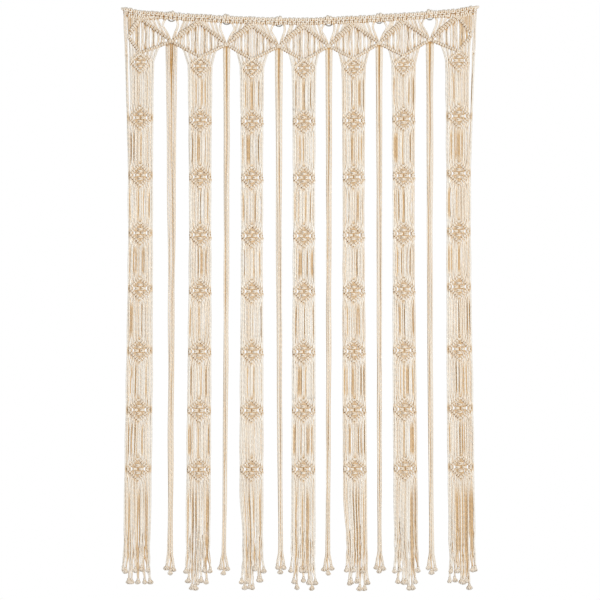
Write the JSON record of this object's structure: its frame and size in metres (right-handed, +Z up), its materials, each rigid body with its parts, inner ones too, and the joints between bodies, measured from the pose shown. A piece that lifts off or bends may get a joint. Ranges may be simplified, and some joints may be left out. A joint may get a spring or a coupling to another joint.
{
  "type": "macrame curtain",
  "caption": "Openwork curtain of knotted cotton cord: a sagging heading with rings tied behind it, a hitched lattice, long panels of lozenges, and plain bundles with knotted ends.",
  "frame": {"origin": "middle of the heading's top edge, which is the highest point of the curtain's middle", "axes": "+X across the curtain, to the right as seen from the front; the front faces -Y; +Z up"},
  "size_m": [1.106, 0.0313, 1.803],
  "materials": {
    "cotton_cord": "natural undyed twisted cotton cord, matt",
    "ring_metal": "plain grey metal wire"
  },
  "bodies": {
    "root": {"heading": "cotton_cord", "lattice": "cotton_cord", "panel_1": "cotton_cord", "panel_2": "cotton_cord", "panel_3": "cotton_cord", "panel_4": "cotton_cord", "panel_5": "cotton_cord", "panel_6": "cotton_cord", "panel_7": "cotton_cord", "bundle_1": "cotton_cord", "bundle_2": "cotton_cord", "bundle_3": "cotton_cord", "bundle_4": "cotton_cord", "bundle_5": "cotton_cord", "bundle_6": "cotton_cord", "ring_1": "ring_metal", "ring_2": "ring_metal", "ring_3": "ring_metal", "ring_4": "ring_metal", "ring_5": "ring_metal", "ring_6": "ring_metal", "ring_tie_1": "cotton_cord", "ring_tie_2": "cotton_cord", "ring_tie_3": "cotton_cord", "ring_tie_4": "cotton_cord", "ring_tie_5": "cotton_cord", "ring_tie_6": "cotton_cord"}
  },
  "joints": []
}
